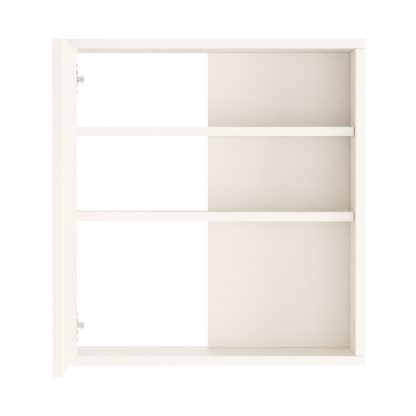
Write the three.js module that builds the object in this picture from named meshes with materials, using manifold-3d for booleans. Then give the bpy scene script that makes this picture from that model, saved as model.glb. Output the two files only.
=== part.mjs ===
// Hanging wall cabinet: a board carcass with an inset door on concealed cup hinges, two loose shelves
// on pins, a back board behind the right half, and keyhole hangers in the rear edges of its sides.
// Millimetres, +Z up, +X right, the front faces -Y. The origin is the middle of the top panel's rear edge.

import * as THREE from 'three';
import { mergeVertices } from 'three/addons/utils/BufferGeometryUtils.js';
import Module from 'manifold-3d';

const wasm = await Module();
wasm.setup();

// ---- Driving dimensions ----

const cabinetWidth = 600;
const cabinetHeight = 640;
const cabinetDepth = 300;
const carcassBoard = 19;
const shelfBoard = 18;
const backBoard = 18;
const doorBoard = 18;

const lowerClearHeight = 263; // under the lower shelf
const middleClearHeight = 150; // between the shelves
const shelfFrontGap = 26; // between the closed door and the shelves
const backWidth = 290.5; // the back board covers the right half only
const backRecess = 24; // from the wall to the back board's rear face

const jointGap = 0.3; // between boards that are screwed together
const fitGap = 0.3; // round anything let into a board
const overcut = 1; // how far a cutter runs past the face that it opens
const doorGap = 2; // all round the closed door
const shelfEndGap = 2;
const shelfRearGap = 0.5;

const openAngle = 90; // how far the door stands open, in degrees

// Shelf pins
const pinRadius = 2.5;
const pinDepth = 8;
const pinReach = 8;
const collarRadius = 3.4;
const collarThickness = 1.4;
const pinInset = 37; // from the shelf's front and rear edges
const pinRise = 2.3; // of its axis over the shelf's underside, which is grooved to take it

// Carcass screws
const carcassScrew = { head: 5, neck: 3, length: 50, headHeight: 2.5 };
const cornerScrewInset = 45; // from the front plane and from the wall
const backScrewInset = 60; // from both ends of the back board

// Cup hinges
const hingeInset = 58; // from the door's top and bottom edges to the hinge centres
const cupEdgeDistance = 22; // from the door's edge to the cup centre
const cupRadius = 17.5;
const cupDepth = 11.5;
const cupWall = 2;
const cupFloor = 1.2;
const cupSegments = 36;
const flangeThickness = 1.2;
const cupRimRise = 1.3; // the cup's rolled rim over its flange, open where the link passes
const cupRimGap = 1; // beside the link
const flangeScrewSpan = 48;
const flangeScrewSetOff = 6; // from the cup centre, away from the door's edge
const earRadius = 6.5;
const linkCheek = 1.2;
const linkHalfWidth = 1.9;
const linkBush = 2.1;
const hingePinRadius = 1.1;
const armWidth = 12;
const armWeb = 1.6;
const linkSideGap = 0.4; // between the arm's cheeks and the link's
const cupPinDepth = 3.5; // below the door's inner face
const cupPinInset = 6; // from the cup's inner wall at the door's edge
const linkKneeRise = 3.5; // above the door's inner face, clear of the cup's rim
const armStandOff = 31; // from the side panel to the arm's outer face at its nose
const armHeight = 15; // from the side panel to the arm's outer face over the mounting plate
const armEnd = 90; // from the front plane to the arm's rear end
const armNoseGap = 1.3; // between the arm's nose and the cup's floor, door shut
const plateSetback = 57; // from the front plane to the mounting plate's centre
const plateThickness = 3;
const plateScrewSpan = 32;
const ribReach = { front: 11, rear: 28 }; // from the mounting plate's centre
const armRibGap = 0.6; // between the mounting plate's rib and the arm over it
const armFootGap = 1.8; // between the mounting plate's wings and the arm's cheeks
const armScrewYs = { adjusting: 55, clamping: 76 }; // from the front plane
const armScrewHead = 3.2;
const armScrewThread = 2;
const cupScrew = { head: 3.8, neck: 1.7, length: 12, headHeight: 1.8, dome: 2.2 };
const plateScrew = { head: 3.2, neck: 1.8, length: 14, headHeight: 1.8 };

// Keyhole hangers
const hangerDrop = 56; // from the cabinet's top to the hanger's centre
const hangerLength = 60;
const hangerWidth = 14;
const hangerThickness = 2;
const hangerEntryRadius = 4.6;
const hangerSlotWidth = 5.2;
const hangerSlotRise = 11;
const hangerPocketDepth = 13;
const hangerScrewSpan = 46;
const hangerScrew = { head: 2.8, neck: 1.5, length: 14, headHeight: 1.4 };

// ---- Derived places ----

const innerWidth = cabinetWidth - 2 * carcassBoard;
const innerX = innerWidth / 2;
const frontY = -cabinetDepth;
const ceilingZ = cabinetHeight - carcassBoard;
const backFrontY = -(backRecess + backBoard);
const lowerShelfZ = carcassBoard + lowerClearHeight;
const upperShelfZ = lowerShelfZ + shelfBoard + middleClearHeight;
const shelfFrontY = frontY + doorBoard + shelfFrontGap;
const shelfRearY = backFrontY - shelfRearGap;
const doorWidth = innerWidth - 2 * doorGap;
const doorHeight = ceilingZ - carcassBoard - 2 * doorGap;
const hingeZs = { upper: ceilingZ - doorGap - hingeInset, lower: carcassBoard + doorGap + hingeInset };

// ---- Materials ----

const boardMaterial = new THREE.MeshStandardMaterial({ color: 0xf3ece3, roughness: 0.45, metalness: 0 });
const steelMaterial = new THREE.MeshStandardMaterial({ color: 0xb4b1ab, roughness: 0.3, metalness: 1 });
const zincMaterial = new THREE.MeshStandardMaterial({ color: 0x9c9a95, roughness: 0.4, metalness: 1 });

// ---- Solids ----

// A closed three.js geometry as a solid that can be joined and cut.
function solid(geometry) {
  geometry.deleteAttribute('normal');
  geometry.deleteAttribute('uv');
  const merged = mergeVertices(geometry, 1e-4);
  return new wasm.Manifold(new wasm.Mesh({
    numProp: 3,
    vertProperties: Float32Array.from(merged.attributes.position.array),
    triVerts: Uint32Array.from(merged.index.array),
  }));
}

// A box between two opposite corners.
function box(low, high) {
  const size = high.map((value, i) => value - low[i]);
  const geometry = new THREE.BoxGeometry(...size);
  geometry.translate(...low.map((value, i) => value + size[i] / 2));
  return solid(geometry);
}

// A solid turned about an axis that starts at a point and runs along a direction.
// The profile lists [radius, distance along the axis] and starts and ends on the axis.
function turned(profile, start, direction, segments = 20) {
  const points = profile.map(([radius, along]) => new THREE.Vector2(radius, along));
  const geometry = new THREE.LatheGeometry(points, segments);
  const turn = new THREE.Quaternion();
  turn.setFromUnitVectors(new THREE.Vector3(0, 1, 0), new THREE.Vector3(...direction));
  geometry.applyQuaternion(turn);
  geometry.translate(...start);
  return solid(geometry);
}

function cylinder(radius, start, direction, length, segments = 20) {
  return turned([[0, 0], [radius, 0], [radius, length], [0, length]], start, direction, segments);
}

// An outline in the XY plane, pulled up from one height to another.
function plate(outline, lowZ, highZ) {
  const shape = new THREE.Shape(outline.map(([x, y]) => new THREE.Vector2(x, y)));
  const geometry = new THREE.ExtrudeGeometry(shape, { depth: highZ - lowZ, bevelEnabled: false });
  geometry.translate(0, 0, lowZ);
  return solid(geometry);
}

// The outline of a strip of even half width along a path, with round ends.
function strip(path, halfWidth, steps = 6) {
  const side = (sign) => path.map(([x, y], i) => {
    const [ax, ay] = path[Math.max(i - 1, 0)];
    const [bx, by] = path[Math.min(i + 1, path.length - 1)];
    const length = Math.hypot(bx - ax, by - ay);
    return [x - (sign * halfWidth * (by - ay)) / length, y + (sign * halfWidth * (bx - ax)) / length];
  });
  const cap = ([x, y], from) => {
    const turns = Array.from({ length: steps - 1 }, (_, i) => from - (Math.PI * (i + 1)) / steps);
    return turns.map((angle) => [x + halfWidth * Math.cos(angle), y + halfWidth * Math.sin(angle)]);
  };
  const heading = ([ax, ay], [bx, by]) => Math.atan2(by - ay, bx - ax);
  const [first, second] = path;
  const [beforeLast, last] = path.slice(-2);
  const endCap = cap(last, heading(beforeLast, last) + Math.PI / 2);
  const startCap = cap(first, heading(first, second) - Math.PI / 2);
  return [...side(1), ...endCap, ...side(-1).reverse(), ...startCap].reverse();
}

// A countersunk screw. Its head lies flush with the start, or domes over it, and it runs along
// the direction. Grown by a clearance, the same profile is the hole that it sits in.
function screw(size, start, direction, clearance = 0) {
  const head = size.head + clearance;
  const neck = size.neck + clearance;
  const rise = (size.dome ?? 0) + clearance;
  const shoulder = clearance > 0 ? head : 0.8 * head;
  const rim = clearance > 0 ? rise : 0.6 * rise;
  const profile = [
    [0, -rise], [shoulder, -rise], [head, -rim], [head, 0.4], [neck, size.headHeight + clearance],
    [neck, size.length - size.neck + clearance], [0, size.length + clearance],
  ];
  return turned(profile, start, direction, 16);
}

const root = new THREE.Group();
root.position.set(0, 0, -(cabinetHeight - carcassBoard / 2));

// Adds a solid to a group as a named mesh.
function addPiece(name, body, material, parent = root) {
  const { vertProperties, triVerts } = body.getMesh();
  const geometry = new THREE.BufferGeometry();
  geometry.setAttribute('position', new THREE.BufferAttribute(vertProperties, 3));
  geometry.setIndex(new THREE.BufferAttribute(triVerts, 1));
  geometry.computeVertexNormals();
  const mesh = new THREE.Mesh(geometry, material);
  mesh.name = name;
  parent.add(mesh);
}

// ---- Carcass screws ----

const screwYs = { front: frontY + cornerScrewInset, rear: -cornerScrewInset };
const backScrewXs = { left: innerX - backWidth + backScrewInset, right: innerX - backScrewInset };
const sides = { left: -1, right: 1 };
const faces = { top: { z: cabinetHeight, down: -1 }, bottom: { z: 0, down: 1 } };

const carcassScrews = [];
for (const [face, { z, down }] of Object.entries(faces)) {
  for (const [side, sign] of Object.entries(sides)) {
    for (const [place, y] of Object.entries(screwYs)) {
      const start = [sign * (innerX + carcassBoard / 2), y, z];
      carcassScrews.push({ name: `corner_screw_${face}_${side}_${place}`, start, direction: [0, 0, down] });
    }
    const start = [backScrewXs[side], -(backRecess + backBoard / 2), z];
    carcassScrews.push({ name: `back_screw_${face}_${side}`, start, direction: [0, 0, down] });
  }
}

function withoutCarcassScrews(body) {
  const cut = (rest, { start, direction }) => rest.subtract(screw(carcassScrew, start, direction, fitGap));
  return carcassScrews.reduce(cut, body);
}

for (const { name, start, direction } of carcassScrews) {
  addPiece(name, screw(carcassScrew, start, direction), zincMaterial);
}

// ---- Top, bottom and back boards ----

for (const [face, { z, down }] of Object.entries(faces)) {
  const inner = z + down * carcassBoard;
  const low = [-cabinetWidth / 2, frontY, Math.min(z, inner)];
  const high = [cabinetWidth / 2, 0, Math.max(z, inner)];
  addPiece(`${face}_panel`, withoutCarcassScrews(box(low, high)), boardMaterial);
}

const backLow = [innerX - backWidth, backFrontY, carcassBoard + jointGap];
const backHigh = [innerX - jointGap, -backRecess, ceilingZ - jointGap];
addPiece('back_board', withoutCarcassScrews(box(backLow, backHigh)), boardMaterial);

// ---- Shelves and their pins ----

const shelfZs = { lower: lowerShelfZ, upper: upperShelfZ };
const pinYs = { front: shelfFrontY + pinInset, rear: shelfRearY - pinInset };
const shelfX = innerX - shelfEndGap;
const shelfPins = [];

// The round-topped groove in a shelf's underside that takes a pin's peg.
function pinGroove(sign, y, z) {
  const radius = pinRadius + fitGap;
  const innerEnd = innerX - collarThickness - pinReach - 2 * fitGap;
  const outerEnd = shelfX + overcut;
  const start = [sign * innerEnd, y, z + pinRise];
  const round = cylinder(radius, start, [sign, 0, 0], outerEnd - innerEnd, 16);
  const xs = [sign * innerEnd, sign * outerEnd].sort((a, b) => a - b);
  return round.add(box([xs[0], y - radius, z - overcut], [xs[1], y + radius, z + pinRise]));
}

for (const [level, z] of Object.entries(shelfZs)) {
  let shelf = box([-shelfX, shelfFrontY, z], [shelfX, shelfRearY, z + shelfBoard]);
  for (const [side, sign] of Object.entries(sides)) {
    for (const [place, y] of Object.entries(pinYs)) {
      shelfPins.push({ name: `shelf_pin_${level}_${side}_${place}`, sign, y, z: z + pinRise });
      shelf = shelf.subtract(pinGroove(sign, y, z));
    }
  }
  addPiece(`${level}_shelf`, shelf, boardMaterial);
}

// A pin pushed into the side panel, with a collar against it and a peg that lies in the shelf's groove.
for (const { name, sign, y, z } of shelfPins) {
  const collarStart = pinDepth + fitGap / 2;
  const collarEnd = collarStart + collarThickness;
  const pegEnd = collarEnd + pinReach;
  const profile = [
    [0, 0], [pinRadius, 0], [pinRadius, collarStart], [collarRadius, collarStart],
    [collarRadius, collarEnd], [pinRadius, collarEnd], [pinRadius, pegEnd], [0, pegEnd],
  ];
  addPiece(name, turned(profile, [sign * (innerX + pinDepth), y, z], [-sign, 0, 0], 16), steelMaterial);
}

// ---- Side panels with their keyhole hangers ----

// A rounded slot through a plate or board, seen along Y: an entry hole with a slot rising from it.
function keyhole(x, z, fromY, toY, clearance) {
  const depth = toY - fromY;
  const half = hangerSlotWidth / 2 + clearance;
  const entry = cylinder(hangerEntryRadius + clearance, [x, fromY, z], [0, 1, 0], depth);
  const rise = box([x - half, fromY, z], [x + half, toY, z + hangerSlotRise]);
  const end = cylinder(half, [x, fromY, z + hangerSlotRise], [0, 1, 0], depth);
  return entry.add(rise).add(end);
}

const hangerZ = cabinetHeight - hangerDrop;
const entryZ = hangerZ - hangerSlotRise / 2;

function hangerScrewStarts(x) {
  return [['top', 1], ['bottom', -1]].map(([end, sign]) => (
    { end, start: [x, -jointGap, hangerZ + (sign * hangerScrewSpan) / 2] }
  ));
}

function addHanger(side, sign) {
  const x = sign * (innerX + carcassBoard / 2);
  const low = [x - hangerWidth / 2, -jointGap - hangerThickness, hangerZ - hangerLength / 2];
  const high = [x + hangerWidth / 2, -jointGap, hangerZ + hangerLength / 2];
  let hanger = box(low, high).subtract(keyhole(x, entryZ, low[1] - overcut, overcut, 0));
  for (const { end, start } of hangerScrewStarts(x)) {
    hanger = hanger.subtract(screw(hangerScrew, start, [0, -1, 0], fitGap));
    addPiece(`hanger_screw_${side}_${end}`, screw(hangerScrew, start, [0, -1, 0]), zincMaterial);
  }
  addPiece(`keyhole_hanger_${side}`, hanger, zincMaterial);
}

function hangerRecess(sign) {
  const x = sign * (innerX + carcassBoard / 2);
  const half = hangerWidth / 2 + fitGap;
  const seatY = -jointGap - hangerThickness - fitGap;
  const halfLength = hangerLength / 2 + fitGap;
  const seat = box([x - half, seatY, hangerZ - halfLength], [x + half, overcut, hangerZ + halfLength]);
  const pocketHalf = hangerEntryRadius + fitGap;
  const pocketLow = [x - pocketHalf, -hangerPocketDepth, entryZ - pocketHalf];
  const pocketHigh = [x + pocketHalf, 0, entryZ + hangerSlotRise + pocketHalf];
  const cutters = hangerScrewStarts(x).map(({ start }) => screw(hangerScrew, start, [0, -1, 0], fitGap));
  return cutters.reduce((all, cutter) => all.add(cutter), seat.add(box(pocketLow, pocketHigh)));
}

const plateY = frontY + plateSetback;
const plateScrewStarts = [];
for (const [level, z] of Object.entries(hingeZs)) {
  for (const [end, sign] of [['top', 1], ['bottom', -1]]) {
    const start = [-innerX + plateThickness, plateY, z + (sign * plateScrewSpan) / 2];
    plateScrewStarts.push({ level, end, start });
  }
}

for (const [side, sign] of Object.entries(sides)) {
  const low = [sign > 0 ? innerX : -cabinetWidth / 2, frontY, carcassBoard + jointGap];
  const high = [sign > 0 ? cabinetWidth / 2 : -innerX, 0, ceilingZ - jointGap];
  let panel = withoutCarcassScrews(box(low, high)).subtract(hangerRecess(sign));
  for (const pin of shelfPins.filter((candidate) => candidate.sign === sign)) {
    const start = [sign * (innerX - overcut), pin.y, pin.z];
    const bore = cylinder(pinRadius + fitGap / 2, start, [sign, 0, 0], pinDepth + overcut + fitGap, 16);
    panel = panel.subtract(bore);
  }
  if (sign < 0) {
    for (const { start } of plateScrewStarts) {
      panel = panel.subtract(screw(plateScrew, start, [-1, 0, 0], fitGap));
    }
  }
  addPiece(`${side}_side_panel`, panel, boardMaterial);
  addHanger(side, sign);
}

// ---- Hinges: what stays on the cabinet ----

// Each hinge has its own group on the front inner corner of the left side panel: X runs into the
// opening, Y towards the wall, and Z is 0 at the hinge's centre.
const noseY = doorBoard - cupDepth + cupFloor + armNoseGap;
const armNose = { x: armStandOff - 4, y: noseY + 4 }; // where the link meets the arm

// The arm from the side: a low rear part over the mounting plate, a crank, and a raised nose.
// Inset by the web's thickness, the outer edge is that of the hollow under it.
function armOutline(inset, footX) {
  const crankY = noseY + 18.5;
  const outer = [
    [armStandOff - 2 - inset, noseY + inset], [armStandOff - inset, noseY + 3],
    [armStandOff - inset, crankY + inset / 2], [armHeight - inset, crankY + 19.5 + inset / 2],
    [armHeight - inset, armEnd - inset],
  ];
  const foot = [
    [footX, armEnd - inset], [footX, crankY + 18.5], [armStandOff - 10.5, crankY],
    [armStandOff - 8, noseY + 5], [armStandOff - 7.6, noseY + 1 + inset],
  ];
  return [...foot, ...outer];
}

function addFixedHingeParts(level, z) {
  const hinge = new THREE.Group();
  hinge.position.set(-innerX, frontY, z);
  root.add(hinge);

  // The arm is a channel, open towards the side panel.
  const half = armWidth / 2;
  const footX = plateThickness + armFootGap;
  const hollow = plate(armOutline(armWeb, footX - overcut), armWeb - half, half - armWeb);
  const boreStart = [armNose.x, armNose.y, -half - overcut];
  const bore = cylinder(hingePinRadius + fitGap / 2, boreStart, [0, 0, 1], armWidth + 2 * overcut);
  let arm = plate(armOutline(0, footX), -half, half).subtract(hollow).subtract(bore);
  for (const y of Object.values(armScrewYs)) {
    const start = [armHeight - 2 * armWeb, y, 0];
    arm = arm.subtract(cylinder(armScrewHead + fitGap, start, [1, 0, 0], 3 * armWeb));
  }
  addPiece(`${level}_hinge_arm`, arm, steelMaterial, hinge);
  const pinHalf = half + fitGap / 2;
  const armPin = cylinder(hingePinRadius, [armNose.x, armNose.y, -pinHalf], [0, 0, 1], 2 * pinHalf);
  addPiece(`${level}_hinge_arm_pin`, armPin, zincMaterial, hinge);

  // The mounting plate: two wings with a screw each, and a rib that the arm sits over.
  const wingHalf = { y: 6, z: 24 };
  const wingLow = [jointGap, plateSetback - wingHalf.y, -wingHalf.z];
  const wing = box(wingLow, [plateThickness, plateSetback + wingHalf.y, wingHalf.z]);
  const ribHalf = half - armWeb - armRibGap;
  const ribTop = armHeight - armWeb - 2 * armRibGap;
  const ribHigh = [ribTop, plateSetback + ribReach.rear, ribHalf];
  const rib = box([jointGap, plateSetback - ribReach.front, -ribHalf], ribHigh);
  let mounting = wing.add(rib);
  for (const sign of [1, -1]) {
    const start = [plateThickness, plateSetback, (sign * plateScrewSpan) / 2];
    mounting = mounting.subtract(screw(plateScrew, start, [-1, 0, 0], fitGap));
  }
  for (const y of Object.values(armScrewYs)) {
    const thread = cylinder(armScrewThread + fitGap, [plateThickness, y, 0], [1, 0, 0], ribTop);
    mounting = mounting.subtract(thread);
  }
  addPiece(`${level}_hinge_plate`, mounting, zincMaterial, hinge);
  const screwStart = plateThickness + fitGap;
  const headStart = ribTop + fitGap - screwStart;
  const headEnd = armHeight - screwStart;
  for (const [name, y] of Object.entries(armScrewYs)) {
    const profile = [
      [0, 0], [armScrewThread, 0], [armScrewThread, headStart], [armScrewHead, headStart],
      [armScrewHead, headEnd], [0, headEnd],
    ];
    const armScrew = turned(profile, [screwStart, y, 0], [1, 0, 0], 16);
    addPiece(`${level}_hinge_${name}_screw`, armScrew, zincMaterial, hinge);
  }
}

for (const [level, z] of Object.entries(hingeZs)) {
  addFixedHingeParts(level, z);
}
for (const { level, end, start } of plateScrewStarts) {
  addPiece(`${level}_hinge_plate_screw_${end}`, screw(plateScrew, start, [-1, 0, 0]), zincMaterial);
}

// ---- Door, drawn closed and then swung open about the hinge line ----

const door = new THREE.Group();
door.position.set(-innerX, frontY, 0);
door.rotation.z = THREE.MathUtils.degToRad(-openAngle);
root.add(door);

// In the door's frame: X from the hinge line along the closed door, Y from its face into the cabinet.
const cupX = doorGap + cupEdgeDistance;
const flangeX = cupX + flangeScrewSetOff;
const doorZ = carcassBoard + doorGap;
let doorPanel = box([doorGap, 0, doorZ], [doorGap + doorWidth, doorBoard, doorZ + doorHeight]);

// The cup: a round dish let into the door, with a flat flange, a screw ear above and below, and a
// raised rim that is open across the middle, where the link passes.
function cupSolid(z) {
  const rim = doorBoard + flangeThickness;
  const floor = doorBoard - cupDepth;
  const earZ = flangeScrewSpan / 2;
  const rimTop = rim + cupRimRise;
  const gap = armWidth / 2 + linkSideGap + linkCheek + cupRimGap;
  const passage = box([cupX - cupRadius, rim, z - gap], [cupX + cupRadius, rimTop + overcut, z + gap]);
  let dish = cylinder(cupRadius, [cupX, floor, z], [0, 1, 0], rimTop - floor, cupSegments);
  dish = dish.subtract(passage);
  const seat = doorBoard + fitGap / 2;
  let flange = box([flangeX - earRadius, seat, z - earZ], [flangeX + earRadius, rim, z + earZ]);
  for (const sign of [1, -1]) {
    flange = flange.add(cylinder(earRadius, [flangeX, seat, z + sign * earZ], [0, 1, 0], rim - seat, 24));
  }
  const hollowStart = [cupX, floor + cupFloor, z];
  const hollow = cylinder(cupRadius - cupWall, hollowStart, [0, 1, 0], rimTop, cupSegments);
  return dish.add(flange).subtract(hollow);
}

// The link joins the cup to the arm: two bent cheeks on a bush that turns on the cup's pin.
// Its places are those of the open door, so it is drawn in the hinge's own frame.
const cupPinOffset = cupRadius - cupWall - cupPinInset; // from the cup centre towards the door's edge
const cupPin = { x: doorBoard - cupPinDepth, y: cupPinOffset - cupX };
const linkKnee = { x: doorBoard + linkKneeRise, y: cupPin.y };

function addLink(level, z) {
  const hinge = new THREE.Group();
  hinge.position.set(-innerX, frontY, z);
  root.add(hinge);
  const inner = armWidth / 2 + linkSideGap;
  const path = [cupPin, linkKnee, armNose].map(({ x, y }) => [x, y]);
  const outline = strip(path, linkHalfWidth);
  const bushStart = [cupPin.x, cupPin.y, -inner - linkCheek];
  const bush = cylinder(linkBush, bushStart, [0, 0, 1], 2 * (inner + linkCheek));
  const cheeks = plate(outline, inner, inner + linkCheek).add(plate(outline, -inner - linkCheek, -inner));
  const boreStart = [cupPin.x, cupPin.y, -inner - linkCheek - overcut];
  const bore = cylinder(hingePinRadius + fitGap, boreStart, [0, 0, 1], 2 * (inner + linkCheek + overcut));
  addPiece(`${level}_hinge_link`, cheeks.add(bush).subtract(bore), steelMaterial, hinge);
  // The pin is as long as the chord of the cup's inside at the pin's outer edge.
  const pinHalf = Math.sqrt((cupRadius - cupWall) ** 2 - (cupPinOffset + 2 * hingePinRadius) ** 2) - fitGap;
  const linkPin = cylinder(hingePinRadius, [cupPin.x, cupPin.y, -pinHalf], [0, 0, 1], 2 * pinHalf);
  addPiece(`${level}_hinge_link_pin`, linkPin, zincMaterial, hinge);
}

for (const [level, z] of Object.entries(hingeZs)) {
  let cup = cupSolid(z);
  const boreStart = [cupX, doorBoard - cupDepth - fitGap, z];
  const bore = cylinder(cupRadius + fitGap, boreStart, [0, 1, 0], doorBoard, cupSegments);
  doorPanel = doorPanel.subtract(bore);
  for (const [end, sign] of [['top', 1], ['bottom', -1]]) {
    const start = [flangeX, doorBoard + flangeThickness, z + (sign * flangeScrewSpan) / 2];
    const hole = screw(cupScrew, start, [0, -1, 0], fitGap);
    cup = cup.subtract(hole);
    doorPanel = doorPanel.subtract(hole);
    addPiece(`${level}_hinge_cup_screw_${end}`, screw(cupScrew, start, [0, -1, 0]), zincMaterial, door);
  }
  addPiece(`${level}_hinge_cup`, cup, steelMaterial, door);
  addLink(level, z);
}
addPiece('door_panel', doorPanel, boardMaterial, door);

export default root;
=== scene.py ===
"""A hanging wall cabinet in warm white melamine board, with its inset door open on two cup hinges.

Every piece is worked out in numpy in the row frame: metres, +X right, +Y into the wall, +Z up.
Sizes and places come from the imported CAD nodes; finer sizes are given in millimetres below.
"""

import math

import bmesh
import bpy
import numpy as np
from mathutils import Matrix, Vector


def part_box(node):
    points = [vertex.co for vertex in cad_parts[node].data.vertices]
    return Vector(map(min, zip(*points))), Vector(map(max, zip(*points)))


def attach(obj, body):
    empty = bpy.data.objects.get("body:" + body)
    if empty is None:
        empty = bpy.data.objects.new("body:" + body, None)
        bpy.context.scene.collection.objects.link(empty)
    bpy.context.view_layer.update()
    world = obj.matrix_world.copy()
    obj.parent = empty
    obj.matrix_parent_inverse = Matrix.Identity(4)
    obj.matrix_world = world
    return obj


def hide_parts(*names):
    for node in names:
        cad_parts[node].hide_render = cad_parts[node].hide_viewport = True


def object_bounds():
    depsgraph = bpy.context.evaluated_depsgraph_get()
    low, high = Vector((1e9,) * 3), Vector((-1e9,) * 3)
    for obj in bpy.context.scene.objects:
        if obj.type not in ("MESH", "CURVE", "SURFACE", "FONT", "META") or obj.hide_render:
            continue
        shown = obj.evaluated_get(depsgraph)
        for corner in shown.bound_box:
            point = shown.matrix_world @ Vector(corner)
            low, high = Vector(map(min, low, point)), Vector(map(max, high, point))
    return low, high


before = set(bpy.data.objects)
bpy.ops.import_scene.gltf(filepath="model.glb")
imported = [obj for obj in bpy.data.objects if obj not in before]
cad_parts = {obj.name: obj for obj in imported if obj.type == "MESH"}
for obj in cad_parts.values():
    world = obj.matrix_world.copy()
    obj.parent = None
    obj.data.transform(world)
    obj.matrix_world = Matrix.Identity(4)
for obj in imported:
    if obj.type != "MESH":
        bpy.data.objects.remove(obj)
cad_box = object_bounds()

MM = 0.001
X, Y, Z = np.eye(3)

BOARD_EDGE = 0.9 * MM  # radius of a banded board's eased edges
BAND_THICKNESS = 1.1 * MM  # the edge banding seen end-on beside a broad face
BAND_GROOVE = 0.05 * MM  # depth of the fine line between edging and face
BANDED, CORE = 0.5, 1.0  # face marks: edge banding, and chipboard bared by a cut
JOINT_GAP = 0.45 * MM  # the fine open line where a side panel meets the top and bottom panels
INNER_EDGE = 0.3 * MM  # the crisper edge of a board that butts against its neighbours
STEEL_EDGE = 0.35 * MM  # pressed steel's rounded edges
SHEET = 1.6 * MM  # hinge steel
AXIS = 0.02 * MM  # the radius at which a turned profile starts and ends, just off its axis
OVER = 1 * MM  # how far a cutter runs past the face it cuts
SHARP_ANGLE = 38  # degrees between two faces from which their edge is sharp


# ---- Meshes ----


def make_piece(name, parts, replaces=(), body="carcass", slot=None, core=False):
    """One mesh from several closed parts, each given as (points, faces) and perhaps a finish per
    face. core marks a cutter, whose faces bare the chipboard inside a board. With a slot, the piece
    is finished as well."""
    points, faces, finish = [], [], []
    offset = 0
    for part_points, part_faces, *part_finish in parts:
        points.append(np.asarray(part_points, float).reshape(-1, 3))
        faces.extend([tuple(int(i) + offset for i in face) for face in part_faces])
        finish.extend(part_finish[0] if part_finish else [0.0] * len(part_faces))
        offset += len(points[-1])
    mesh = bpy.data.meshes.new(name)
    mesh.from_pydata(np.vstack(points).tolist(), [], faces)
    if core:
        finish = [CORE] * len(faces)
    marks = mesh.attributes.new("finish", "FLOAT", "FACE")
    marks.data.foreach_set("value", np.array(finish, np.float32))
    mesh.polygons.foreach_set("use_smooth", np.ones(len(faces), bool))
    mesh.update()
    piece = bpy.data.objects.new(name, mesh)
    bpy.context.scene.collection.objects.link(piece)
    if slot:
        finish_piece(piece, replaces, body, slot)
    return piece


def box_of(node):
    """The two opposite corners of a CAD node's box."""
    return tuple(np.array(corner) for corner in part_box(node))


def middle_of(node):
    low, high = box_of(node)
    return (low + high) / 2


def finish_piece(piece, replaces, body, slot):
    """Marks the sharp edges, gives the piece its material and hands it to the body that carries it."""
    piece.data.set_sharp_from_angle(angle=math.radians(SHARP_ANGLE))
    piece.data.materials.clear()
    piece.data.materials.append(MATERIALS[slot])
    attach(piece, body)
    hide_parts(*replaces)


def cut(piece, cutters, operation="DIFFERENCE"):
    """Cuts (or joins) each cutter in turn with a boolean, then drops the cutter."""
    for cutter in cutters:
        modifier = piece.modifiers.new("cut", "BOOLEAN")
        modifier.operation = operation
        modifier.solver = "MANIFOLD"
        modifier.object = cutter
        bpy.context.view_layer.update()
        evaluated = piece.evaluated_get(bpy.context.evaluated_depsgraph_get())
        mesh = bpy.data.meshes.new_from_object(evaluated)
        piece.modifiers.clear()
        piece.data = mesh
        bpy.data.objects.remove(cutter)


def closed_grid(rings):
    """Faces of a tube: ring i joins ring i + 1 by quads, and the first and last rings are filled.
    rings has the shape (rings, points round each ring, 3)."""
    rings = np.asarray(rings, float)
    count, around = rings.shape[:2]
    index = np.arange(count * around).reshape(count, around)
    turned_index = np.roll(index, -1, axis=1)
    quads = np.stack([index[:-1], turned_index[:-1], turned_index[1:], index[1:]], axis=-1).reshape(-1, 4)
    caps = [tuple(index[0][::-1]), tuple(index[-1])]
    return rings.reshape(-1, 3), [tuple(face) for face in quads] + caps


def frame_of(direction):
    """Two unit vectors square to a direction, so that side x up = direction."""
    direction = np.asarray(direction, float)
    side = X if abs(direction @ X) < 0.9 else Y
    side = side - direction * (side @ direction)
    side = side / np.linalg.norm(side)
    return side, np.cross(direction, side)


def turned(profile, start, direction, segments=32, shift=None):
    """A solid of revolution: each profile row (radius, distance along the axis) is a ring about the
    axis. shift(along, angle, radius) adds to the distance, which sinks a drive recess into a head."""
    profile = np.asarray(profile, float)
    side, up = frame_of(direction)
    angle = np.linspace(0, 2 * math.pi, segments, endpoint=False)
    spoke = np.cos(angle)[:, None] * side + np.sin(angle)[:, None] * up
    radius, along = profile[:, 0][:, None], np.repeat(profile[:, 1][:, None], segments, axis=1)
    if shift is not None:
        along = along + shift(along, angle[None, :], radius)
    points = np.asarray(start) + radius[..., None] * spoke + along[..., None] * np.asarray(direction)
    return closed_grid(points)


def arc(centre, radius, start, end, steps):
    """Points on a circle from one angle to another, in degrees."""
    angle = np.radians(np.linspace(start, end, steps))
    return np.stack([centre[0] + radius * np.cos(angle), centre[1] + radius * np.sin(angle)], axis=-1)


def rounded_rectangle(low, high, radius, steps=5, support=0.25 * MM):
    """A rectangle whose corners are quarter circles, anticlockwise, with a support point beside each
    arc's ends so that the flat sides shade flat. Returns a function that gives the outline drawn in
    by an inset: each side moves in by it, and the corner's radius shrinks by it."""
    low, high = np.asarray(low, float), np.asarray(high, float)

    def outline(inset):
        (x0, y0), (x1, y1) = low + inset, high - inset
        bend = max(radius - inset, 0.02 * MM)
        points = []
        for (cx, cy), start in [((x1, y0), -90), ((x1, y1), 0), ((x0, y1), 90), ((x0, y0), 180)]:
            to_corner = [math.copysign(bend, 2 * cx - x0 - x1), math.copysign(bend, 2 * cy - y0 - y1)]
            centre = np.array([cx, cy]) - to_corner
            turn = np.radians(np.linspace(start, start + 90, steps))
            normal = np.stack([np.cos(turn), np.sin(turn)], axis=-1)
            curve = centre + bend * normal
            before = curve[0] - support * np.array([-normal[0][1], normal[0][0]])
            after = curve[-1] + support * np.array([-normal[-1][1], normal[-1][0]])
            points.extend([before, *curve, after])
        return np.array(points)

    return outline


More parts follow.
